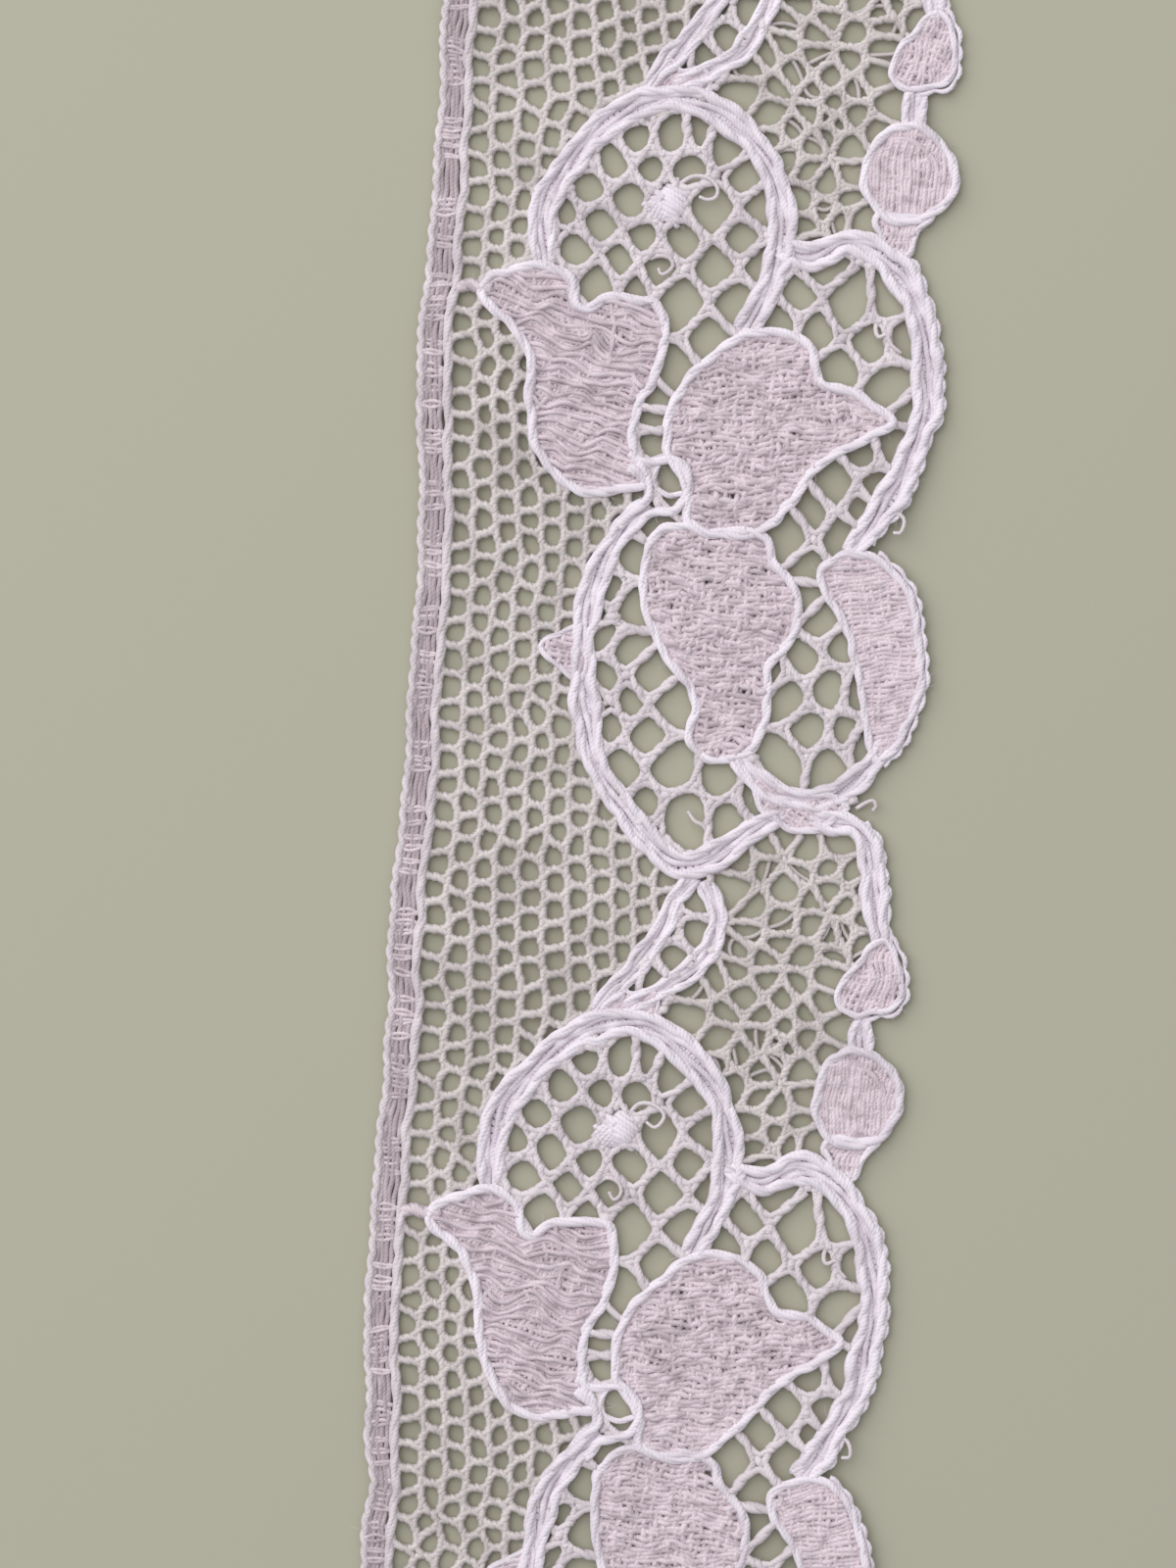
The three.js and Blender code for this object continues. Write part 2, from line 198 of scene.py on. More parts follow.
# Joins a bundle of threads into one mesh of closed tubes, with a map that runs along and round each thread
def threadPiece(name, runs, material, sides):
    runs = cutToLength(runs)
    corners, faces, faceSizes, maps, tones = [], [], [], [], []
    turn = fullTurn * np.arange(sides) / sides
    first = 0
    for run in runs:
        points = laid(run["points"])
        points[:, 2] = np.maximum(points[:, 2], (run["halfWidth"] + trim["clearance"]) * mm)
        closed, count = run["closed"], len(points)
        heading = headings(points, closed)
        side = np.cross(heading, (0, 0, 1))
        side /= np.maximum(np.linalg.norm(side, axis=1), 1e-9)[:, None]
        over = np.cross(side, heading)
        wide = run["halfWidth"][:, None, None] * mm
        outward = np.cos(turn)[:, None] * side[:, None] + np.sin(turn)[:, None] * over[:, None]
        rings = points[:, None] + wide * outward
        corners.append(rings.reshape(-1, 3))
        tones.append(np.repeat(run["tone"], sides))
        rows = np.arange(count if closed else count - 1)[:, None]
        cols = np.arange(sides)[None]
        nextRow, nextCol = (rows + 1) % count, (cols + 1) % sides
        quads = np.stack([rows * sides + cols, nextRow * sides + cols,
                          nextRow * sides + nextCol, rows * sides + nextCol], 2).reshape(-1, 4)
        far = travelled(np.vstack([points, points[:1]])) / mm
        u0, u1 = far[rows] + 0 * cols, far[rows + 1] + 0 * cols
        v0, v1 = cols / sides + 0 * rows, (cols + 1) / sides + 0 * rows
        maps.append(np.stack([u0, v0, u1, v0, u1, v1, u0, v1], 2).reshape(-1, 2))
        faces.append(quads.reshape(-1) + first)
        faceSizes.append(np.full(len(quads), 4))
        if not closed:
            caps = np.stack([np.arange(sides), (count - 1) * sides + np.arange(sides)[::-1]])
            faces.append(caps.reshape(-1) + first)
            faceSizes.append(np.full(2, sides))
            maps.append(np.zeros((2 * sides, 2)))
        first += count * sides
    corners, faces, faceSizes = np.vstack(corners), np.concatenate(faces), np.concatenate(faceSizes)
    mesh = bpy.data.meshes.new(name)
    mesh.vertices.add(len(corners))
    mesh.vertices.foreach_set("co", corners.astype(np.float32).ravel())
    mesh.loops.add(len(faces))
    mesh.loops.foreach_set("vertex_index", faces.astype(np.int32))
    mesh.polygons.add(len(faceSizes))
    starts = np.concatenate([[0], np.cumsum(faceSizes)[:-1]])
    mesh.polygons.foreach_set("loop_start", starts.astype(np.int32))
    mesh.polygons.foreach_set("use_smooth", np.ones(len(faceSizes), bool))
    mesh.update(calc_edges=True)
    threadMap = mesh.uv_layers.new(name="thread")
    threadMap.data.foreach_set("uv", np.vstack(maps).astype(np.float32).ravel())
    toneLayer = mesh.attributes.new("tone", "FLOAT", "POINT")
    toneLayer.data.foreach_set("value", np.concatenate(tones).astype(np.float32))
    mesh.validate()
    mesh.materials.append(material)
    piece = bpy.data.objects.new(name, mesh)
    bpy.context.scene.collection.objects.link(piece)
    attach(piece, "root")
    print(name, len(runs), "threads,", int((faceSizes - 2).sum()), "triangles")
    return piece


# Cotton: a matt fibre with a soft sheen, uneven from thread to thread and along each one
cottons = {
    "netCotton": {"pale": (0.75, 0.68, 0.67), "dark": (0.56, 0.50, 0.49)},
    "fillingCotton": {"pale": (0.79, 0.71, 0.74), "dark": (0.60, 0.53, 0.56)},
    "clothCotton": {"pale": (0.80, 0.68, 0.73), "dark": (0.57, 0.47, 0.51)},
    "cordCotton": {"pale": (0.90, 0.82, 0.89), "dark": (0.71, 0.63, 0.69)},
    # the footing's cotton has a deeper dark end, for painted shade on the sunk hangers
    "footingCottonWithPaintedShade": {"pale": (0.80, 0.68, 0.73), "dark": (0.48, 0.40, 0.425)},
}
cottonFinish = {"roughness": 0.88, "specular": 0.25, "sheen": 0.25, "sheenRoughness": 0.5,
                "patchesPerMetre": 700.0, "patchDetail": 4.0, "toneShare": 0.35,
                "darkFrom": 0.35, "paleFrom": 0.82, "pliesPerMm": 2.4, "plyWander": 1.5, "plyBump": 0.5,
                "fibreStretch": (3.0, 14.0, 1.0), "fibreScale": 2.0, "fibreDetail": 3.0, "fibreBump": 0.35,
                "bumpDepth": 0.00004}


def cottonMaterial(name):
    tint = cottons[name]
    material = bpy.data.materials.new(name)
    material.use_nodes = True
    nodes, link = material.node_tree.nodes, material.node_tree.links.new

    def addNode(kind, **values):
        node = nodes.new("ShaderNode" + kind)
        for socket, value in values.items():
            node.inputs[socket].default_value = value
        return node

    shader = nodes["Principled BSDF"]
    shader.inputs["Roughness"].default_value = cottonFinish["roughness"]
    shader.inputs["Sheen Weight"].default_value = cottonFinish["sheen"]
    shader.inputs["Sheen Roughness"].default_value = cottonFinish["sheenRoughness"]
    shader.inputs["Specular IOR Level"].default_value = cottonFinish["specular"]

    coords = addNode("TexCoord")
    patches = addNode("TexNoise", Scale=cottonFinish["patchesPerMetre"], Detail=cottonFinish["patchDetail"])
    link(coords.outputs["Object"], patches.inputs["Vector"])
    tone = addNode("Attribute")
    tone.attribute_name = "tone"
    blend = addNode("Math")
    blend.operation = "MULTIPLY_ADD"
    blend.inputs[1].default_value = cottonFinish["toneShare"]
    link(tone.outputs["Fac"], blend.inputs[0])
    link(patches.outputs["Fac"], blend.inputs[2])
    ramp = addNode("ValToRGB")
    for stop, shade in zip(ramp.color_ramp.elements, ("dark", "pale")):
        stop.position, stop.color = cottonFinish[shade + "From"], (*tint[shade], 1)
    link(blend.outputs["Value"], ramp.inputs["Fac"])
    link(ramp.outputs["Color"], shader.inputs["Base Color"])

    # plies wind round the thread, and fine fibres run along them
    along = addNode("UVMap")
    along.uv_map = "thread"
    plies = addNode("TexWave", Scale=cottonFinish["pliesPerMm"], Distortion=cottonFinish["plyWander"])
    plies.wave_type, plies.bands_direction = "BANDS", "DIAGONAL"
    link(along.outputs["UV"], plies.inputs["Vector"])
    stretch = addNode("Mapping", Scale=cottonFinish["fibreStretch"])
    link(along.outputs["UV"], stretch.inputs["Vector"])
    fibres = addNode("TexNoise", Scale=cottonFinish["fibreScale"], Detail=cottonFinish["fibreDetail"])
    link(stretch.outputs["Vector"], fibres.inputs["Vector"])
    plyBump = addNode("Bump", Strength=cottonFinish["plyBump"], Distance=cottonFinish["bumpDepth"])
    fibreBump = addNode("Bump", Strength=cottonFinish["fibreBump"], Distance=cottonFinish["bumpDepth"])
    link(plies.outputs["Fac"], plyBump.inputs["Height"])
    link(fibres.outputs["Fac"], fibreBump.inputs["Height"])
    link(plyBump.outputs["Normal"], fibreBump.inputs["Normal"])
    link(fibreBump.outputs["Normal"], shader.inputs["Normal"])
    return material


netCotton, fillingCotton, clothCotton, cordCotton, footingCottonWithPaintedShade = map(cottonMaterial, cottons)
print("cotton materials made")

# How weavers lie: the pitch of the ribs, the weavers in one rib, how far they stray, pass over hangers
# and bend, where the hangers run, and the range of tones
weaves = {
    "ridged": {"rib": 0.60, "beat": [-0.20, 0, 0.20], "rise": [-0.09, 0.10, -0.09], "halfWidth": 0.16,
               "loose": 0.03, "over": 0.03, "bend": 0.24, "hangerPitch": 0.56, "hangerHeight": 0.27,
               "tones": (0.1, 0.9)},
    "speckled": {"rib": 0.30, "beat": [0], "rise": [0], "halfWidth": 0.185, "loose": 0.055,
                 "over": 0.06, "bend": 0.15, "hangerPitch": 0.52, "hangerHeight": 0.34, "tones": (0.0, 1.0)},
    "smooth": {"rib": 0.28, "beat": [0], "rise": [0], "halfWidth": 0.18, "loose": 0.03,
               "over": 0.03, "bend": 0.12, "hangerPitch": 0.50, "hangerHeight": 0.34, "tones": (0.7, 1.2)},
    "ribbed": {"rib": 0.46, "beat": [-0.115, 0.115], "rise": [0.04, -0.02], "halfWidth": 0.17, "loose": 0.02,
               "over": 0.03, "bend": 0.06, "hangerPitch": 0.52, "hangerHeight": 0.32, "tones": (0.5, 1.0)},
}

# Cloth-stitch motifs of one repeat: the slant and kind of the weave, the size of the cord, and the outline
motifs = {
    "leftLeaf": {"slant": -10, "weave": "ridged", "cordSize": 1.4, "outline": [
        (3.5, 36.2), (3.7, 37.0), (5.0, 37.6), (7.0, 38.1), (8.7, 37.2), (9.2, 35.7), (9.9, 35.5),
        (10.8, 36.3), (12.7, 36.4), (14.1, 36.1), (14.5, 34.5), (14.3, 32.2), (13.2, 29.9), (13.0, 28.2),
        (13.2, 26.7), (14.0, 25.2), (12.6, 24.8), (10.4, 24.5), (8.5, 25.4), (7.2, 27.3), (6.8, 30.0),
        (6.6, 32.2), (6.0, 33.5), (5.2, 34.6), (4.2, 35.3)]},
    "rightLeaf": {"slant": 4, "weave": "speckled", "cordSize": 1.35, "outline": [
        (15.1, 27.4), (15.1, 29.3), (15.8, 31.2), (17.3, 32.9), (18.8, 34.3), (20.2, 34.9), (22.1, 34.7),
        (23.5, 33.8), (24.0, 32.3), (24.6, 31.6), (26.4, 31.4), (27.7, 30.5), (28.7, 29.8), (27.2, 28.8),
        (25.4, 27.7), (23.7, 26.1), (22.0, 23.9), (20.9, 22.7), (18.0, 22.4), (16.7, 23.2), (16.6, 24.7),
        (15.9, 26.3)]},
    "lowerLeaf": {"slant": -3, "weave": "speckled", "cordSize": 1.3, "outline": [
        (14.4, 21.5), (15.2, 22.5), (16.6, 22.9), (18.0, 22.4), (19.6, 22.7), (21.3, 22.3), (21.8, 21.0),
        (23.0, 19.7), (23.5, 18.0), (23.2, 16.2), (22.0, 14.6), (21.9, 12.8), (21.7, 11.0), (20.8, 9.3),
        (18.8, 8.8), (17.4, 10.1), (17.7, 11.6), (17.3, 13.0), (15.6, 14.9), (14.5, 17.0), (14.2, 19.6)]},
    "edgeBud": {"slant": 12, "weave": "smooth", "cordSize": 1.2, "outline": [
        (24.8, 20.4), (26.1, 21.5), (28.0, 21.6), (29.7, 20.0), (30.7, 17.8), (31.0, 15.4), (31.0, 13.0),
        (30.2, 10.5), (28.8, 9.2), (28.2, 11.4), (27.5, 14.2), (26.8, 16.7), (25.9, 18.2), (25.1, 19.2)]},
    "smallBud": {"slant": 78, "weave": "smooth", "cordSize": 0.95, "outline": [
        (27.4, 50.6), (27.4, 51.5), (27.8, 52.4), (28.5, 53.2), (29.2, 54.1), (29.9, 54.5), (30.5, 54.0),
        (30.9, 53.0), (31.0, 52.0), (31.0, 51.0), (30.6, 50.4), (29.6, 50.2), (28.6, 49.9), (27.9, 50.1)]},
    "thorn": {"slant": 0, "weave": "smooth", "cordSize": 0.75, "outline": [
        (10.6, 16.5), (9.3, 15.9), (8.0, 15.0), (9.2, 13.9), (10.5, 13.1)]},
    "stemFoot": {"slant": 35, "weave": "smooth", "cordSize": 0.6, "outline": [
        (12.6, 48.9), (13.2, 49.9), (13.9, 50.8), (14.6, 50.3), (15.8, 50.6), (16.4, 50.0), (16.1, 49.1),
        (14.4, 49.2)]},
    "tailLobe": {"slant": -30, "weave": "smooth", "cordSize": 1.05, "outline": [
        (20.3, 9.1), (22.1, 8.1), (23.6, 7.2), (26.4, 7.0), (27.3, 6.4), (26.6, 5.7), (25.6, 5.0),
        (24.6, 4.7), (23.6, 4.9), (22.8, 5.5), (22.0, 6.0), (21.2, 7.4)]},
    "edgeSpot": {"slant": 88, "weave": "ribbed", "cordSize": 1.3, "outline": [
        (26.2, 44.5), (26.5, 46.0), (27.3, 47.2), (28.5, 47.75), (29.8, 47.4), (30.8, 46.5),
        (31.4, 45.2), (31.4, 43.9), (30.8, 43.0), (29.8, 42.3), (28.6, 41.9), (27.4, 42.1), (26.5, 43.1)]},
    "spotFoot": {"slant": 82, "weave": "smooth", "cordSize": 0.95, "outline": [
        (27.1, 42.3), (26.9, 41.7), (27.4, 41.0), (27.6, 40.2), (28.3, 39.7), (29.0, 40.0), (29.1, 40.8),
        (29.5, 41.6), (30.2, 42.4), (28.7, 42.2)]},
}

# Pairs of cords, with the distance between the two; a beaded pair has small loops along its outer side
bands = {
    "ring": {"apart": (1.25, 1.1), "cordSize": 1.4, "path": [
        (7.0, 38.2), (6.8, 41.0), (7.8, 43.7), (10.0, 46.4), (12.8, 48.3), (15.6, 48.5), (18.5, 46.8),
        (20.5, 44.2), (21.2, 41.2), (20.9, 38.2), (20.0, 36.2), (19.2, 34.6)]},
    "stemLeft": {"apart": (0.85, 0.85), "cordSize": 1.05, "path": [
        (12.6, 49.0), (13.4, 50.2), (14.8, 51.9), (16.4, 54.3), (17.2, 56.2), (18.2, 57.7)]},
    "stemRight": {"apart": (0.85, 0.85), "cordSize": 1.05, "path": [
        (14.2, 49.4), (16.1, 50.3), (17.7, 51.4), (18.9, 52.7), (19.7, 54.3), (19.8, 55.8), (18.8, 57.4)]},
    "lowerRing": {"apart": (1.05, 1.05), "cordSize": 1.3, "path": [
        (14.2, 23.9), (13.2, 22.9), (12.1, 21.3), (11.1, 19.0), (10.7, 15.6), (10.9, 11.8), (11.8, 8.6),
        (13.3, 6.0), (15.2, 3.8), (17.2, 2.3), (18.9, 2.6), (20.6, 3.9), (22.3, 5.2), (23.4, 5.7)]},
    "edgeRun": {"apart": (1.05, 0.9), "cordSize": 1.35, "beads": True, "path": [
        (24.9, 5.7), (26.3, 5.4), (27.7, 5.2), (28.5, 4.2), (28.8, 2.9), (29.0, 1.4), (29.5, -0.5),
        (29.8, -1.8)]},
    "edgeLoop": {"apart": (1.15, 1.15), "cordSize": 1.45, "beads": True, "path": [
        (21.0, 40.2), (23.2, 39.5), (25.1, 40.4), (26.9, 40.1), (28.5, 38.8), (29.9, 36.2), (30.5, 33.0),
        (30.4, 29.9), (29.5, 26.8), (28.0, 24.0), (26.4, 21.7)]},
    "budTail": {"apart": (0.95, 0.95), "cordSize": 1.2, "path": [
        (29.5, 10.4), (28.5, 9.0), (27.5, 7.9), (26.4, 7.2), (25.0, 6.7), (23.6, 6.8), (22.4, 7.1),
        (21.3, 7.8), (20.6, 8.6), (20.3, 9.3)]},
    "upperNeck": {"apart": (1.25, 1.25), "cordSize": 1.2, "path": [
        (29.0, 50.0), (28.9, 48.8), (28.8, 47.4)]},
}

# The scalloped side: along, across
scallops = {"along": [0, 4, 6.3, 9.4, 14, 19, 22, 24.5, 27, 32, 36.5, 40, 44, 49, 52.5, 56],
            "across": [29.5, 29.0, 28.4, 29.5, 30.3, 29.6, 28.2, 27.8,
                       29.1, 30.2, 29.6, 28.5, 28.7, 28.6, 29.6, 29.5],
            "beyond": 0.2}    # how far strands may pass the line

motifLoops = {(name, shift): smoothPath([(x, y + shift) for x, y in motif["outline"]], True)
              for shift in shifts for name, motif in motifs.items()}
bandPaths = {(name, shift): smoothPath([(x, y + shift) for x, y in band["path"]])
             for shift in shifts for name, band in bands.items()}


def nearTo(points, path, margin=1.0):
    return ((points > path.min(0) - margin) & (points < path.max(0) + margin)).all(1)


# How deep places lie under cloth stitch or a band; below zero is clear of them
def coverDepth(points, clear=-9.0):
    depth = np.full(len(points), clear)
    for loop in motifLoops.values():
        near = nearTo(points, loop)
        if near.any():
            away = distanceTo(points[near], np.vstack([loop, loop[:1]])[::2])
            depth[near] = np.maximum(depth[near], np.where(isInside(points[near], loop), away, -away))
    for (name, _), path in bandPaths.items():
        near = nearTo(points, path)
        if near.any():
            half = sum(bands[name]["apart"]) / 4
            depth[near] = np.maximum(depth[near], half - distanceTo(points[near], path[::2]))
    return depth


# The outlining cord: plies twisted together, never quite even
cord = {"plies": 3, "plyHalfWidth": 0.17, "windingRadius": 0.08, "turnLength": 4.4, "height": 0.46,
        "stray": 0.05, "strayWaves": (1.1, 3), "riseWaves": (1.5, 5), "swells": [(0.10, 2.1), (0.07, 4.7)]}
cordStrayAcross, cordStrayAlong = waveField(*cord["strayWaves"]), waveField(*cord["strayWaves"])
cordRise = waveField(*cord["riseWaves"])


def twisted(path, closed=False, height=None, size=1.0):
    height = (cord["height"] if height is None else height) + cord["stray"] * cordRise(path)
    path = path + cord["stray"] * np.stack([cordStrayAcross(path), cordStrayAlong(path)], 1)
    far = travelled(path)
    whole = far[-1] + (np.linalg.norm(path[0] - path[-1]) if closed else 0)
    turns = max(1, round(whole / cord["turnLength"]))
    phase = fullTurn * turns * far / whole + dice.uniform(*anyTurn)
    heading = headings(path, closed)
    runs = []
    for ply in range(cord["plies"]):
        turn = phase + fullTurn * ply / cord["plies"]
        out = size * cord["windingRadius"] * np.cos(turn)
        points = np.column_stack([path[:, 0] - heading[:, 1] * out, path[:, 1] + heading[:, 0] * out,
                                  height + size * cord["windingRadius"] * np.sin(turn)])
        swell = 1 + sum(much * np.sin(far * rate + dice.uniform(*anyTurn)) for much, rate in cord["swells"])
        runs.append(thread(points, size * cord["plyHalfWidth"] * swell, closed))
    return runs


# The cloth stitch: weavers lie close in ribs across a motif, over and under its hanging threads
cloth = {"weaverHeight": 0.37, "hangerHalfWidth": 0.18, "hangerOver": 0.08, "backHeight": 0.19,
         "backStep": 0.4, "margin": 0.5, "looseRates": (3, 8), "swayRate": 0.6, "widths": (0.92, 1.14),
         "bendWaves": (1.5, 4), "ripple": 0.10, "rippleWaves": (0.9, 2.6),
         "flecks": 0.55, "slubs": 0.07, "fleckWaves": (0.6, 1.8), "fleckSquash": (1, 2)}
bendAcross, bendAlong = waveField(*cloth["bendWaves"]), waveField(*cloth["bendWaves"])
rippleField, fleckField = waveField(*cloth["rippleWaves"]), waveField(*cloth["fleckWaves"])


def clothStitch(loop, motif):
    weave, turn = weaves[motif["weave"]], math.radians(motif["slant"])
    spin = np.array([[math.cos(turn), math.sin(turn)], [-math.sin(turn), math.cos(turn)]])
    middle = loop.mean(0)
    turned = (loop - middle) @ spin.T
    low, high = turned.min(0) - cloth["margin"], turned.max(0) + cloth["margin"]
    lines = []
    for rib, level in enumerate(np.arange(low[1], high[1], weave["rib"])):
        for beat, rise in zip(weave["beat"], weave["rise"]):
            height = cloth["weaverHeight"] + rise
            lines.append((0, level + beat, height, weave["over"], weave["halfWidth"], rib))
    pitch, wide = weave["hangerPitch"], cloth["hangerHalfWidth"]
    for k, level in enumerate(np.arange(low[0], high[0], pitch)):
        lines.append((1, level, weave["hangerHeight"], -cloth["hangerOver"], wide, k))
        lines.append((1, level + pitch / 2, cloth["backHeight"], 0, wide, k))    # the backing
    runs = []
    for axis, level, height, over, halfWidth, k in lines:
        crossing = pitch if axis == 0 else weave["rib"]
        steps = np.arange(low[axis], high[axis], crossing / 2 if over else cloth["backStep"])
        flat = np.empty((len(steps), 2))
        flat[:, axis] = steps
        rate, push = dice.uniform(*cloth["looseRates"]), dice.uniform(*anyTurn)
        flat[:, 1 - axis] = level + weave["loose"] * (dice.normal() + np.sin(steps * rate + push))
        place = middle + flat @ spin
        place = place + weave["bend"] * np.stack([bendAcross(place), bendAlong(place)], 1)
        sway = over * np.cos(math.pi * ((steps - low[axis]) / crossing + k))
        sway += weave["loose"] * np.sin(steps * rate * cloth["swayRate"] - push)
        fleck = fleckField(place * cloth["fleckSquash"])    # thick places are paler
        run = thread(raised(place, height + sway + cloth["ripple"] * rippleField(place)),
                     halfWidth * (dice.uniform(*cloth["widths"]) + cloth["slubs"] * fleck),
                     tone=dice.uniform(*weave["tones"]) + cloth["flecks"] * fleck)
        runs += split(run, isInside(place, loop))
    return runs


clothRuns, cordRuns, bandRuns = [], [], []
for (name, _), loop in motifLoops.items():
    clothRuns += clothStitch(loop, motifs[name])
    cordRuns += twisted(loop, True, size=motifs[name]["cordSize"])

# Bands: an uneven pair of cords, strands that cross between them, toned a little darker than the cords as
# painted shade, and a weaver drawn from side to side below
bandStitch = {"weaverStep": 0.2, "weaverHalfWidth": 0.15, "weaverHeight": 0.2, "weaverReach": 0.9,
              "weaverEven": 0.22, "strandPitch": 0.40, "strandHalfWidth": 0.21, "strandReach": 0.8,
              "strandLag": 2.1, "strandRise": 0.05, "sway": 0.2, "swayLength": 5.2, "height": 0.33,
              "tones": (-0.3, 0.4), "flecks": 0.45, "slubs": 0.08, "uneven": [(0.15, 0.9), (0.10, 2.2)],
              "narrowing": 0.3, "narrowsWithin": 2.2, "endDive": 0.3, "endThinning": 0.45, "divesWithin": 1.0}

# Small loops along the outer side of some bands and motifs
beadStitch = {"pitch": 1.15, "wander": 0.5, "wanderRate": 0.8, "out": 0.2, "bulge": 0.17, "height": 0.34,
              "rise": 0.1, "halfWidth": 0.15, "least": 0.8, "swell": 0.35, "inside": 0.3,
              "motifs": ("edgeBud", "smallBud"), "motifSpread": 0.05}


def beads(path, spread, wave):
    far = travelled(path)
    wander = beadStitch["wander"] * np.sin(far * beadStitch["wanderRate"] + wave)
    bulge = np.abs(np.sin(math.pi * far / beadStitch["pitch"] + wander))
    side = beside(path, spread + beadStitch["out"] + beadStitch["bulge"] * bulge)
    run = thread(raised(side, beadStitch["height"] + beadStitch["rise"] * bulge),
                 beadStitch["halfWidth"] * (beadStitch["least"] + beadStitch["swell"] * bulge))
    edge = byRepeat(scallops, "across", path[:, 1])
    return split(run, side[:, 0] > edge - beadStitch["inside"])


for (name, _), path in bandPaths.items():
    far = travelled(path)
    fromEnd = np.minimum(far, far[-1] - far)
    wave = dice.uniform(*anyTurn, 3)
    uneven = 1 + sum(much * np.sin(far * rate + w) for (much, rate), w in zip(bandStitch["uneven"], wave))
    apart = np.linspace(*bands[name]["apart"], len(path))
    narrow = bandStitch["narrowing"] * (1 - np.clip(fromEnd / bandStitch["narrowsWithin"], 0, 1))
    spread = apart / 2 * (1 - narrow) * uneven
    sunk = (1 - np.clip(fromEnd / bandStitch["divesWithin"], 0, 1)) ** 2    # ends pass under what they meet
    for side in (-1, 1):
        cordRuns += twisted(beside(path, side * spread), height=cord["height"] - bandStitch["endDive"] * sunk,
                            size=bands[name]["cordSize"] * (1 - bandStitch["endThinning"] * sunk))
    stops = np.arange(0, far[-1], bandStitch["weaverStep"])
    middle = np.stack([np.interp(stops, far, path[:, k]) for k in (0, 1)], 1)
    toAndFro = np.where(np.arange(len(stops)) % 2, 1, -1)
    reach = np.interp(stops, far, spread) * bandStitch["weaverReach"] * toAndFro
    weaver = evenly(beside(middle, reach), bandStitch["weaverEven"])
    bandRuns.append(thread(raised(weaver, bandStitch["weaverHeight"]), bandStitch["weaverHalfWidth"]))
    count = max(2, round(apart.mean() / bandStitch["strandPitch"]))
    for k in range(count):
        turn = fullTurn * far / bandStitch["swayLength"] + bandStitch["strandLag"] * k + wave[2]
        place = bandStitch["strandReach"] * ((2 * k + 1) / count - 1) + bandStitch["sway"] * np.sin(turn)
        height = bandStitch["height"] + bandStitch["strandRise"] * np.cos(turn)
        strand = raised(beside(path, spread * place), height)
        fleck = fleckField(strand)
        # the strands' tones sit below the cords': painted shade between the two cords
        bandRuns.append(thread(strand, bandStitch["strandHalfWidth"] * (1 + bandStitch["slubs"] * fleck),
                               tone=dice.uniform(*bandStitch["tones"]) + bandStitch["flecks"] * fleck))
    if bands[name].get("beads"):
        cordRuns += beads(path, spread, wave[0])
for (name, shift), loop in motifLoops.items():
    if name in beadStitch["motifs"]:
        cordRuns += beads(np.vstack([loop, loop[:1]]), beadStitch["motifSpread"], shift)

# Cords round the eyelet between the leaves and the left leaf's corner, that leaf's tie to the footing,
# and low folds in the cloth of two motifs
extraCords = {
    "eyelet": {"size": 1.25, "height": 0.52, "into": "cords", "path": [
        (12.8, 27.0), (13.5, 26.5), (14.5, 26.6), (15.5, 26.8), (16.3, 26.4), (16.6, 25.5), (16.5, 24.5),
        (16.0, 23.8), (15.1, 23.5), (14.2, 23.2), (13.4, 22.3)]},
    "eyeletBar": {"size": 0.8, "height": 0.42, "into": "cords", "path": [
        (14.7, 26.6), (14.4, 25.8), (14.6, 24.9), (15.3, 24.6), (16.3, 24.8)]},
    "leafCorner": {"size": 1.45, "height": 0.5, "into": "cords", "path": [
        (12.8, 26.2), (13.8, 25.5), (14.2, 24.8), (14.0, 24.0), (13.2, 23.3), (12.4, 22.3)]},
    "leafTie": {"size": 1.7, "height": 0.4, "into": "cloth", "path": [
        (4.0, 36.6), (3.2, 36.5), (2.6, 36.7), (1.9, 36.5)]},
    "lobeSeam": {"size": 0.75, "height": 0.42, "into": "cloth", "path": [
        (11.1, 36.1), (11.35, 35.0), (11.4, 33.7), (11.2, 32.2)]},
    "spotFold": {"size": 0.8, "height": 0.46, "into": "cloth", "path": [
        (27.4, 46.6), (28.4, 46.9), (29.4, 46.4), (30.2, 45.6), (30.6, 44.7)]},
}
for shift in shifts:
    for extra in extraCords.values():
        path = smoothPath([(x, y + shift) for x, y in extra["path"]])
        runs = clothRuns if extra["into"] == "cloth" else cordRuns
        runs += twisted(path, height=extra["height"], size=extra["size"])
print("motifs and bands charted")

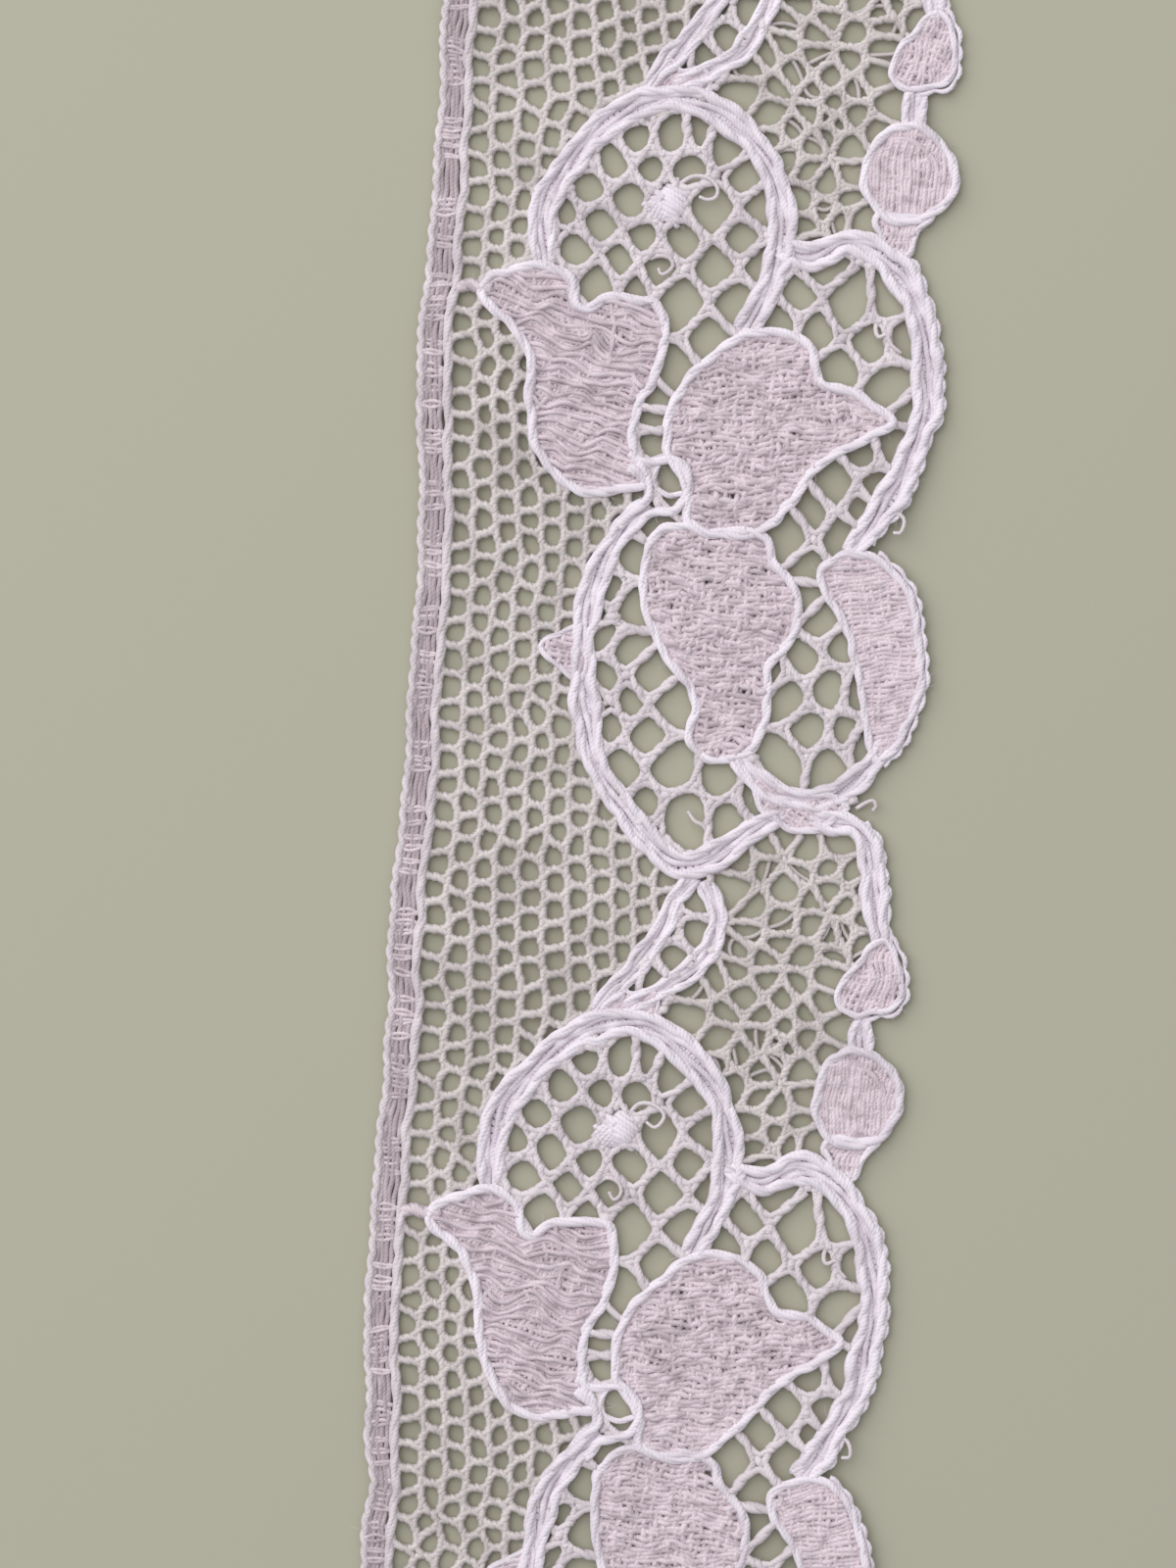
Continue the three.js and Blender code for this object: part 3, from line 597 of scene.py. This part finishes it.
# Holes of one repeat by area: across, along, half of the hole's width
fillingHoles = {
    "ring": [
        (12.3, 46.0, 0.55), (14.4, 46.2, 0.75), (15.9, 46.3, 0.25), (17.5, 45.7, 0.90),
        (11.0, 44.5, 0.70), (13.2, 44.3, 0.60), (15.4, 44.3, 0.75), (18.7, 44.1, 0.80),
        (9.5, 42.7, 0.60), (12.0, 42.4, 1.10), (17.0, 42.0, 1.20), (19.8, 42.3, 0.70), (8.2, 41.1, 0.65),
        (10.4, 40.7, 0.90), (12.9, 39.9, 0.50), (15.2, 40.1, 0.90), (18.8, 40.4, 0.85),
        (8.7, 39.1, 0.95), (11.6, 38.6, 0.70), (14.0, 38.3, 0.75), (17.4, 38.4, 0.90),
        (20.2, 38.9, 0.75), (10.1, 37.1, 0.85), (12.7, 37.2, 0.40), (15.5, 36.2, 1.20),
        (18.8, 36.4, 1.05), (17.3, 34.2, 1.05)],
    "betweenLeaves": [
        (15.4, 32.2, 0.70), (14.1, 30.4, 0.50), (14.0, 29.1, 0.50), (14.0, 27.9, 0.45), (15.4, 25.5, 0.70),
        (14.2, 22.6, 0.40)],
    "edgeLoop": [
        (24.0, 38.5, 0.55), (22.7, 36.9, 0.65), (25.5, 36.7, 1.25), (28.0, 37.0, 0.50), (21.6, 35.4, 0.35),
        (23.7, 35.2, 0.80), (27.0, 34.4, 1.00), (28.9, 34.8, 0.55), (25.5, 32.7, 0.90), (28.3, 32.0, 1.15),
        (29.4, 30.9, 0.40), (26.9, 27.7, 0.75), (28.6, 28.2, 0.65), (25.6, 25.8, 0.95), (27.7, 26.0, 0.60),
        (26.7, 24.7, 0.40), (24.1, 23.9, 0.75), (22.7, 22.5, 1.10), (25.5, 22.8, 0.95), (24.0, 21.0, 0.65)],
    "lowerRing": [
        (13.3, 20.9, 0.95), (12.2, 18.7, 0.50), (13.4, 17.7, 0.75), (11.8, 16.0, 0.70), (13.3, 15.1, 0.80),
        (12.1, 13.4, 0.70), (14.9, 13.6, 0.85), (13.6, 11.9, 0.65), (16.2, 11.8, 0.85), (12.3, 10.4, 0.70),
        (14.9, 10.0, 1.05), (13.6, 7.9, 1.00), (16.5, 8.2, 1.20), (19.3, 7.7, 0.95), (15.0, 6.0, 0.70),
        (17.4, 5.3, 1.30), (20.0, 5.5, 0.70), (21.1, 6.7, 0.40)],
    "besideBud": [
        (23.9, 18.7, 0.50), (25.0, 17.4, 0.85), (26.2, 16.1, 0.45), (24.2, 15.2, 0.75), (25.5, 13.5, 0.95),
        (27.5, 13.2, 0.55), (23.2, 12.8, 0.95), (22.1, 14.0, 0.35), (24.6, 10.9, 1.05), (26.9, 10.9, 0.65),
        (27.8, 10.3, 0.40), (23.3, 9.1, 0.75), (25.8, 9.0, 0.95)],
    "stem": [(18.3, 56.2, 0.55), (18.2, 54.3, 0.60), (17.1, 52.8, 0.55), (15.8, 51.4, 0.50)],
}
starHoles = {
    "upper": [
        (23.6, 4.1, 0.30), (22.5, 3.5, 0.40), (24.8, 3.5, 0.65), (26.6, 4.0, 0.40), (21.0, 2.8, 0.50),
        (22.4, 2.4, 0.55), (24.5, 2.1, 0.45), (26.2, 2.5, 0.45), (27.5, 2.3, 0.30), (20.7, 0.8, 0.75),
        (23.7, 1.2, 0.85), (26.5, 1.1, 0.60), (28.4, 1.3, 0.30), (21.7, 0.0, 0.65), (25.3, 0.3, 0.45),
        (27.5, 0.3, 0.50), (28.5, -0.4, 0.35)],
    "lower": [
        (23.4, 55.3, 0.65), (25.3, 55.2, 0.60), (21.8, 54.6, 0.50), (26.6, 54.4, 0.45), (27.6, 54.8, 0.40),
        (28.5, 54.3, 0.30), (21.1, 53.4, 0.50), (23.4, 54.0, 0.45), (22.7, 53.0, 0.50), (25.1, 53.2, 0.50),
        (26.7, 53.6, 0.40), (20.9, 52.2, 0.50), (26.5, 52.2, 0.65), (22.8, 51.7, 0.55), (24.9, 51.5, 0.50),
        (19.7, 51.5, 0.45), (18.8, 50.8, 0.35), (21.5, 50.6, 0.70), (23.8, 50.6, 0.65), (26.3, 50.6, 0.45),
        (22.7, 49.6, 0.50), (25.3, 49.8, 0.45), (20.5, 49.5, 0.50), (18.7, 49.0, 0.65), (24.1, 48.9, 0.50),
        (20.2, 48.0, 0.80), (22.6, 48.1, 0.50), (25.4, 48.2, 0.60), (27.3, 48.8, 0.40), (23.6, 47.9, 0.25),
        (24.3, 47.5, 0.35), (21.5, 47.1, 0.60), (26.7, 47.4, 0.60), (23.7, 46.8, 0.40), (22.7, 46.1, 0.55),
        (25.1, 46.3, 0.55), (20.3, 46.4, 0.30), (21.2, 45.3, 0.60), (22.8, 44.7, 0.45), (23.9, 44.0, 0.65),
        (25.2, 44.6, 0.35), (22.5, 42.8, 0.50), (23.8, 42.4, 0.50), (25.1, 43.2, 0.25), (24.7, 41.8, 0.35),
        (26.0, 41.8, 0.45), (22.7, 41.4, 0.50), (23.0, 40.4, 0.45)],
}
knot = {"across": 14.4, "along": 42.2, "halfWidth": 0.75}

# The even net: its columns are staggered by half a row, and draw together where the leaf narrows the ground
net = {"rows": 36, "columns": 14, "firstColumn": 2.80, "footing": 1.92, "jitter": 0.13, "halfWidth": 0.60,
       "uneven": 0.06, "beyond": 0.6, "clear": 1.15}
rowPitch = trim["repeat"] / net["rows"]
netSide = {"along": [0, 1.7, 3.5, 6, 8.8, 11.8, 15.6, 19, 21.8, 24, 26,
                     33, 36, 38.4, 41.2, 44.2, 46.9, 48.7, 51.8, 54.2, 56],
           "across": [17.2, 17.8, 15.4, 13.4, 11.7, 10.7, 10.5, 10.9, 12, 13.8, 13.5,
                      9, 8, 7, 6.7, 7.7, 10.1, 13.4, 14.6, 16.5, 17.2]}
netColumn = {"along": [0, 8, 18, 24, 27, 34, 37, 42, 48, 52, 56],
             "pitch": [1.37, 1.40, 1.40, 1.38, 1.20, 1.16, 1.22, 1.36, 1.52, 1.45, 1.37]}

holes, widths, kinds = [], [], []


def addHole(across, along, halfWidth, kind):
    holes.append((across, along))
    widths.append(halfWidth)
    kinds.append(kind)


for shift in shifts:
    for kind, areas in (("filling", fillingHoles), ("star", starHoles)):
        for area in areas.values():
            for across, along, halfWidth in area:
                addHole(across, along + shift, halfWidth, kind)
    addHole(knot["across"], knot["along"] + shift, knot["halfWidth"], "shut")
motifHoles = np.array(holes)
for column in range(net["columns"]):
    for row in range(len(shifts) * net["rows"]):
        along = shifts[0] + rowPitch * (row + 0.5 * (column % 2))
        across = net["firstColumn"] + column * byRepeat(netColumn, "pitch", along)
        limit = byRepeat(netSide, "across", along) + net["beyond"]
        nearest = np.hypot(*(motifHoles - (across, along)).T).min()
        if across < limit and nearest > net["clear"]:
            push = dice.normal(0, net["jitter"], 2)
            halfWidth = net["halfWidth"] + dice.normal(0, net["uneven"])
            addHole(across + push[0], along + push[1], halfWidth, "net")
            if column == 0:    # a mirrored place keeps the strand beside the footing straight
                addHole(2 * net["footing"] - across - push[0], along + push[1], halfWidth, "shut")
holes, widths = np.array(holes), np.array(widths)
print(len(holes), "hole centres")


# Strands by ground: half the space between a pair, their width and height, how corners are rounded, how
# much longer than wide a hole is drawn, the stops along a side, and the knob where strands meet
strands = {
    "net": {"apart": 0.085, "halfWidth": 0.215, "height": 0.31, "corner": 0.16, "round": 0.24,
            "stretch": 1.28, "stops": 5},
    "star": {"apart": 0.09, "halfWidth": 0.20, "height": 0.30, "corner": 0.3, "round": 0.36,
             "stretch": 1.0, "stops": 5, "knob": 0.24},
    "filling": {"apart": 0.115, "halfWidth": 0.24, "height": 0.36, "corner": 0.5, "round": 0.4,
                "stretch": 1.12, "stops": 6, "knob": 0.31},
}
twining = {"shortestSide": 0.22, "leastBend": 0.05, "fullSwingAt": 0.6, "widths": (0.88, 1.12), "under": 0.25,
           "shortest": 0.5, "deepest": 1.2, "pastEnds": 2}
meetings = {kind: [] for kind, strand in strands.items() if "knob" in strand}


# The space round one hole, shared with its neighbours by their widths; each side keeps a neighbour's number
def holeSides(i, reach=2.6, neighbours=25):
    here, stretch = holes[i], np.array([strands[kinds[i]]["stretch"], 1])
    away = (holes - here) * stretch
    far = np.hypot(away[:, 0], away[:, 1])
    sides = [(reach * np.array(corner), -1) for corner in ((-1, -1), (1, -1), (1, 1), (-1, 1))]
    for j in np.argsort(far)[1:neighbours + 1]:
        if far[j] > 2 * reach:
            break
        heading = away[j] / far[j]
        share = (far[j] ** 2 + widths[i] ** 2 - widths[j] ** 2) / (2 * far[j])
        depths = [float(p @ heading) - share for p, _ in sides]
        if max(depths) <= 0:
            continue
        clipped = []
        for k, (p, label) in enumerate(sides):
            q, depth, nextDepth = sides[(k + 1) % len(sides)][0], depths[k], depths[(k + 1) % len(sides)]
            if depth <= 0:
                clipped.append((p, label))
            if (depth <= 0) != (nextDepth <= 0):
                cut = p + (q - p) * depth / (depth - nextDepth)
                clipped.append((cut, int(j) if depth <= 0 else label))
        sides = clipped
    return [(here + p / stretch, label) for p, label in sides]


# One strand round a hole, twisting with the strand of the next hole along each side
def holeStrand(i):
    size = strands[kinds[i]]
    sides = holeSides(i)
    longs = [np.hypot(*(side[0] - sides[k - 1][0])) for k, side in enumerate(sides)]
    sides = [side for side, long in zip(sides, longs) if long > twining["shortestSide"]]
    count = len(sides)
    if count < 3:
        return []
    points, labels = np.array([p for p, _ in sides]), [label for _, label in sides]
    if kinds[i] in meetings:
        meetings[kinds[i]] += [points[k] for k in range(count) if labels[k] >= 0 and labels[k - 1] >= 0]
    heading = np.roll(points, -1, 0) - points
    heading /= np.linalg.norm(heading, axis=1)[:, None]
    outward = np.stack([heading[:, 1], -heading[:, 0]], 1)
    before = np.roll(heading, 1, 0)
    bend = before[:, 0] * heading[:, 1] - before[:, 1] * heading[:, 0]
    bend = np.maximum(bend, twining["leastBend"])
    slide = (1 - (before * heading).sum(1)) / bend
    inset = points + size["apart"] * (heading * slide[:, None] - outward)
    strand, keep = [], []
    share = np.linspace(0, 1, size["stops"])
    twist = fullTurn * share
    for k in range(count):
        start, end, beyond = inset[k], inset[(k + 1) % count], inset[(k + 2) % count]
        long, longNext = float(np.hypot(*(end - start))), float(np.hypot(*(beyond - end)))
        a = start + heading[k] * min(size["corner"], size["round"] * long)
        b = end - heading[k] * min(size["corner"], size["round"] * long)
        c = end + heading[(k + 1) % count] * min(size["corner"], size["round"] * longNext)
        swing = size["apart"] * min(1, long / twining["fullSwingAt"])
        run = a + (b - a) * share[:, None] + outward[k] * (swing * (1 - np.cos(twist)))[:, None]
        strand.append(raised(run, size["height"] + swing * np.sin(twist)))
        strand.append(raised((b + 2 * end + c)[None] / 4, size["height"]))
        keep += [labels[k] >= 0] * size["stops"] + [labels[k] >= 0 or labels[(k + 1) % count] >= 0]
    run = thread(np.vstack(strand), size["halfWidth"] * dice.uniform(*twining["widths"]), True)
    pieces = split(run, np.array(keep) & isOpen(run["points"][:, :2], twining["under"]))
    return [piece for piece in pieces if travelled(piece["points"])[-1] > twining["shortest"]]


def inLength(along, beyond):
    return -beyond < along < trimLength + beyond


# Places that no motif or band covers, on the trim's side of the scallops
def isOpen(flat, depth):
    edge = byRepeat(scallops, "across", flat[:, 1])
    return (coverDepth(flat) < depth) & (flat[:, 0] < edge + scallops["beyond"])


# Where strands meet they are drawn together in a small knob
knob = {"along": np.array([-1, -0.55, 0, 0.55, 1]), "swell": np.array([0.3, 0.8, 1, 0.8, 0.3]), "long": 1.35,
        "sizes": (0.85, 1.2), "apart": 0.3, "under": 0.2, "pastEnds": 1}


def knobs(kind):
    size, runs, met = strands[kind], [], np.empty((0, 2))
    for place in meetings[kind]:
        if len(met) and np.hypot(*(met - place).T).min() < knob["apart"]:
            continue
        met = np.vstack([met, place])
        if not inLength(place[1], knob["pastEnds"]) or not isOpen(place[None], knob["under"])[0]:
            continue
        turn, big = dice.uniform(0, math.pi), size["knob"] * dice.uniform(*knob["sizes"])
        line = place + np.outer(knob["along"] * big * knob["long"], (math.cos(turn), math.sin(turn)))
        runs.append(thread(raised(line, size["height"]), big * knob["swell"]))
    return runs


netRuns, fillingRuns = [], []
for i, kind in enumerate(kinds):
    if kind == "shut" or not inLength(holes[i, 1], twining["pastEnds"]):
        continue
    if coverDepth(holes[i:i + 1])[0] < twining["deepest"]:
        runs = fillingRuns if kind == "filling" else netRuns
        runs += holeStrand(i)
fillingRuns += knobs("filling")
netRuns += knobs("star")

# Slack threads bow across some of the star ground's holes, from one side to the opposite one; they are toned
# dark as painted shade, since they lie low in the holes
slack = {"share": 0.3, "halfWidth": 0.14, "bow": 0.3, "height": 0.18, "tone": 0.0, "points": 8}
for i in [i for i, kind in enumerate(kinds) if kind == "star" and dice.uniform() < slack["share"]]:
    corners = np.array([corner for corner, _ in holeSides(i)])
    middles = (corners + np.roll(corners, -1, 0)) / 2
    first = int(dice.integers(len(middles)))
    start, reach = middles[first], middles[first - len(middles) // 2] - middles[first]
    share = np.linspace(0, 1, slack["points"])[:, None]
    bow = slack["bow"] * dice.uniform(-1, 1) * 4 * share * (1 - share)
    line = start + share * reach + bow * np.array([-reach[1], reach[0]])
    run = thread(raised(line, slack["height"]), slack["halfWidth"], tone=slack["tone"])
    netRuns += split(run, isOpen(line, twining["under"]))
print("net and fillings charted")

# The knot in the middle of each ring: soft pads of threads wound side by side, the lower-left one toned
# darker as painted shade and the higher upper-right one paler as painted highlight, with legs to the net
# round it
knotBall = {"threads": 9, "points": 9, "halfWidth": 0.19, "foot": 0.2, "widest": 0.94, "lean": 0.05,
            "lumps": 0.08, "lumpStart": 0.6}
# pad tones: painted shade on the lower-left pad, painted highlight on the upper-right one
knotPads = [
    {"across": -0.42, "along": -0.3, "half": (1.05, 0.9), "high": 0.36, "slant": 60, "tone": (-0.2, 0.5)},
    {"across": 0.25, "along": 0.05, "half": (1.02, 1.12), "high": 0.5, "slant": -29, "tone": (0.4, 1.1)}]
knotLegs = {"count": 7, "points": 7, "start": 0.3, "reach": 1.5, "reaches": (0.85, 1.15), "jitter": 0.2,
            "bend": 0.3, "height": 0.6, "fall": 0.2, "halfWidths": (0.32, 0.16)}
for shift in shifts:
    centre = np.array([knot["across"], knot["along"] + shift])
    for pad in knotPads:
        for off in np.linspace(-knotBall["widest"], knotBall["widest"], knotBall["threads"]):
            aim = math.radians(pad["slant"]) + dice.normal(0, knotBall["lean"])
            reach = np.linspace(-1, 1, knotBall["points"])[:, None] * math.sqrt(1 - off**2)
            flat = reach * (math.cos(aim), math.sin(aim)) + off * np.array([-math.sin(aim), math.cos(aim)])
            height = knotBall["foot"] + pad["high"] * np.sqrt(np.clip(1 - (flat**2).sum(1), 0, 1))
            turn = np.arctan2(flat[:, 1], flat[:, 0])
            lumps = np.sin(2 * turn + knotBall["lumpStart"]) + np.sin(5 * turn + shift) / 2
            lumps = 1 + knotBall["lumps"] * lumps
            line = centre + (pad["across"], pad["along"]) + np.array(pad["half"]) * lumps[:, None] * flat
            tone = dice.uniform(*pad["tone"])
            cordRuns.append(thread(raised(line, height), knotBall["halfWidth"], tone=tone))
    for leg in range(knotLegs["count"]):
        turn = fullTurn * leg / knotLegs["count"] + dice.normal(0, knotLegs["jitter"])
        reach = knotLegs["reach"] * dice.uniform(*knotLegs["reaches"])
        far = np.linspace(knotLegs["start"], reach, knotLegs["points"])
        aim = turn + knotLegs["bend"] * far
        line = centre + far[:, None] * np.column_stack([np.cos(aim), np.sin(aim)])
        line = raised(line, knotLegs["height"] - knotLegs["fall"] * far)
        cordRuns.append(thread(line, np.linspace(*knotLegs["halfWidths"], knotLegs["points"])))

# The footing: a beaded outer edge, a firm inner cord, sunk hangers between them, toned dark as painted shade,
# and pairs of weavers across
footing = {"pastEnds": 1, "step": 0.2, "inner": 1.84, "cordSize": 1.2, "cordHeight": 0.42}
outer = {"across": 0.26, "height": 0.34, "halfWidth": 0.185, "beadPitch": 1.04, "bead": 0.06, "swell": 0.03,
         "wander": 0.8, "wanderRate": 0.7, "twist": 0.08, "rise": 0.09}
# the hangers' dark tones are painted shade between the outer edge and the inner cord
hangers = {"across": [0.56, 0.84, 1.12, 1.40], "height": 0.24, "halfWidth": 0.185, "tones": (-0.7, -0.2),
           "sways": [(0.04, 1.7, 2), (0.03, 4.1, 1)], "ripple": 0.05, "rippleRate": 3.1, "rateStep": 0.3,
           "rippleLag": 2.2}
rungs = {"span": (0.2, 1.8, 0.16), "height": 0.34, "halfWidth": 0.13, "tones": (0.1, 0.8),
         "pitch": (0.5, 0.85), "cluster": (2, 6), "rest": (0.5, 1.9), "gap": (0.08, 0.2), "lean": 0.06,
         "sink": (-0.08, 0.04), "wave": 0.05, "waveRate": 3, "ripple": 0.04, "rippleRate": 9}
footingRuns, ladderRuns = [], []
length = np.arange(-footing["pastEnds"], trimLength + footing["pastEnds"], footing["step"])
beat = fullTurn * length / outer["beadPitch"] + outer["wander"] * np.sin(length * outer["wanderRate"])
for strand in (0, math.pi):
    turn = beat / 2 + strand
    across = outer["across"] - outer["bead"] * np.cos(beat) + outer["twist"] * np.cos(turn)
    outerEdge = np.column_stack([across, length, outer["height"] + outer["rise"] * np.sin(turn)])
    footingRuns.append(thread(outerEdge, outer["halfWidth"] - outer["swell"] * np.cos(beat)))
innerEdge = np.column_stack([footing["inner"] + 0 * length, length])
footingRuns += twisted(innerEdge, height=footing["cordHeight"], size=footing["cordSize"])
for k, across in enumerate(hangers["across"]):
    sway = sum(much * np.sin(length * rate + k * lag) for much, rate, lag in hangers["sways"])
    ripple = np.sin(length * (hangers["rippleRate"] + hangers["rateStep"] * k) + k * hangers["rippleLag"])
    hanger = np.column_stack([across + sway, length, hangers["height"] + hangers["ripple"] * ripple])
    ladderRuns.append(thread(hanger, hangers["halfWidth"], tone=dice.uniform(*hangers["tones"])))
rungStops = np.arange(*rungs["span"])
bow = np.sin(math.pi * (rungStops - rungStops[0]) / (rungStops[-1] - rungStops[0]))
level, left = 0.0, 0
while level < trimLength:
    level += dice.uniform(*rungs["pitch"]) + (0 if left else dice.uniform(*rungs["rest"]))
    left = left - 1 if left else int(dice.integers(*rungs["cluster"]))
    lean, sink, gap = dice.normal(0, rungs["lean"]), dice.uniform(*rungs["sink"]), dice.uniform(*rungs["gap"])
    wave = rungs["wave"] * np.sin(rungStops * rungs["waveRate"] + level)
    ripple = rungs["ripple"] * np.sin(rungStops * rungs["rippleRate"] + level)
    for side in (-1, 1):
        place = level + lean * rungStops + side * gap * bow + wave
        rung = np.column_stack([rungStops, place, rungs["height"] + sink + ripple])
        ladderRuns.append(thread(rung, rungs["halfWidth"], tone=dice.uniform(*rungs["tones"])))
print("footing charted")

# Loose ends: curls where a thread has sprung free, and fine fibres that stand out of the cotton
curls = {"halfWidth": 0.15, "taper": 0.3, "jitter": 0.04, "step": 0.16, "height": 0.3, "spring": 0.35,
         "springTurn": 2.4, "paths": [
    [(15.0, 43.2), (15.7, 43.8), (16.6, 43.8), (17.3, 43.2), (17.2, 42.7), (16.7, 42.5), (16.2, 42.8)],
    [(13.4, 38.8), (14.0, 39.1), (14.6, 38.9), (14.9, 38.4), (14.7, 38.0), (14.3, 37.9), (14.1, 38.3)],
    [(27.4, 36.0), (27.2, 35.2), (27.5, 34.8), (28.0, 35.0), (28.3, 34.5), (28.8, 34.0)],
    [(19.2, 4.3), (18.6, 4.8), (18.1, 5.0), (17.6, 5.6)],
    [(28.4, 24.1), (29.2, 24.3), (29.6, 23.9), (29.5, 23.3), (29.0, 23.2)],
    [(27.9, 6.4), (28.4, 6.8), (28.8, 6.9), (29.0, 6.6), (28.8, 6.3)]]}
fibres = {"count": 4500, "halfWidth": 0.013, "long": (0.3, 0.95), "points": 5, "turns": (0, 6.28),
          "bend": 1.2, "rise": 0.12, "wave": 0.25, "waveRate": 2.5, "lowest": 0.05}
fibreRuns = []
for shift in shifts:
    for table in curls["paths"]:
        jitter = dice.normal(0, curls["jitter"], (len(table), 2))
        path = smoothPath(np.array(table) + jitter + (0, shift), step=curls["step"])
        share = np.linspace(0, 1, len(path))
        height = curls["height"] + curls["spring"] * np.sin(curls["springTurn"] * share)
        width = curls["halfWidth"] * (1 - curls["taper"] * share)
        fillingRuns.append(thread(raised(path, height), width))
rooted = cordRuns + clothRuns + footingRuns
for pick in dice.integers(0, len(rooted), fibres["count"]):
    run = rooted[pick]
    root = run["points"][dice.integers(len(run["points"]))]
    share = np.linspace(0, 1, fibres["points"])[:, None]
    turn, bent = dice.uniform(*fibres["turns"]), dice.normal(0, fibres["bend"])
    aim, long = turn + bent * share, dice.uniform(*fibres["long"])
    rise = fibres["wave"] * np.sin(fibres["waveRate"] * share + turn) + fibres["rise"]
    hair = root + share * long * np.hstack([np.cos(aim), np.sin(aim), rise])
    hair[:, 2] = np.maximum(hair[:, 2], fibres["lowest"])
    fibreRuns.append(thread(hair, fibres["halfWidth"]))
print("loose ends charted")

# The table
stageLook = {"floorColour": (0.45, 0.435, 0.34), "floorRoughness": 0.95, "floorSide": 1.6,
             "floorDrop": 0.00002, "keyEnergy": 3.6, "keySide": 0.8, "keyPlace": (-0.30, 0.26, 0.45),
             "worldColour": (0.95, 0.97, 1.0), "worldStrength": 0.5}
bpy.ops.mesh.primitive_plane_add(size=stageLook["floorSide"])
floor = bpy.context.object
floor.name = "floor"
floor.data.transform(Matrix.Translation((0, 0, -stageLook["floorDrop"])))
floorMaterial = bpy.data.materials.new("paleFloor")
floorMaterial.use_nodes = True
floorShader = floorMaterial.node_tree.nodes["Principled BSDF"]
floorShader.inputs["Base Color"].default_value = (*stageLook["floorColour"], 1)
floorShader.inputs["Roughness"].default_value = stageLook["floorRoughness"]
floor.data.materials.append(floorMaterial)

netGround = threadPiece("netGround", netRuns, netCotton, sides=4)
fillings = threadPiece("fillings", fillingRuns, fillingCotton, sides=5)
clothMotifs = threadPiece("clothMotifs", clothRuns, clothCotton, sides=4)
bandFilling = threadPiece("bandFilling", bandRuns, cordCotton, sides=5)
outlineCords = threadPiece("outlineCords", cordRuns, cordCotton, sides=5)
footingCords = threadPiece("footingCords", footingRuns, fillingCotton, sides=6)
footingLadder = threadPiece("footingLadder", ladderRuns, footingCottonWithPaintedShade, sides=5)
looseFibres = threadPiece("looseFibres", fibreRuns, cordCotton, sides=3)
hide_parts("lace_trim")

# The light and the camera
world = bpy.data.worlds.new("softRoom")
bpy.context.scene.world = world
world.use_nodes = True
roomLight = world.node_tree.nodes["Background"]
roomLight.inputs["Color"].default_value = (*stageLook["worldColour"], 1)
roomLight.inputs["Strength"].default_value = stageLook["worldStrength"]
keyData = bpy.data.lights.new("key", "AREA")
keyData.size, keyData.energy = stageLook["keySide"], stageLook["keyEnergy"]
key = bpy.data.objects.new("key", keyData)
key.location = stageLook["keyPlace"]
key.rotation_euler = (-key.location).to_track_quat("-Z", "Y").to_euler()
bpy.context.scene.collection.objects.link(key)

# The picture is 1200 by 1600, and the trim leans a little to the right in it
shot = {"lens": 100.0, "sensor": 36.0, "clip": (0.01, 10), "heightMm": 94.97, "acrossMm": 11.44,
        "alongMm": 62.89, "leanDegrees": 3.22}
cameraData = bpy.data.cameras.new("camera")
cameraData.lens, cameraData.sensor_width = shot["lens"], shot["sensor"]
cameraData.clip_start, cameraData.clip_end = shot["clip"]
camera = bpy.data.objects.new("camera", cameraData)
away = shot["heightMm"] * shot["lens"] / shot["sensor"]
place = (shot["acrossMm"] - trim["middleAcross"], shot["alongMm"] - trimLength / 2, away)
camera.location = [value * mm for value in place]
camera.rotation_euler = (0, 0, math.radians(shot["leanDegrees"]))
bpy.context.scene.collection.objects.link(camera)
bpy.context.scene.camera = camera
bpy.context.scene.view_settings.view_transform = "Standard"
print("stage set")
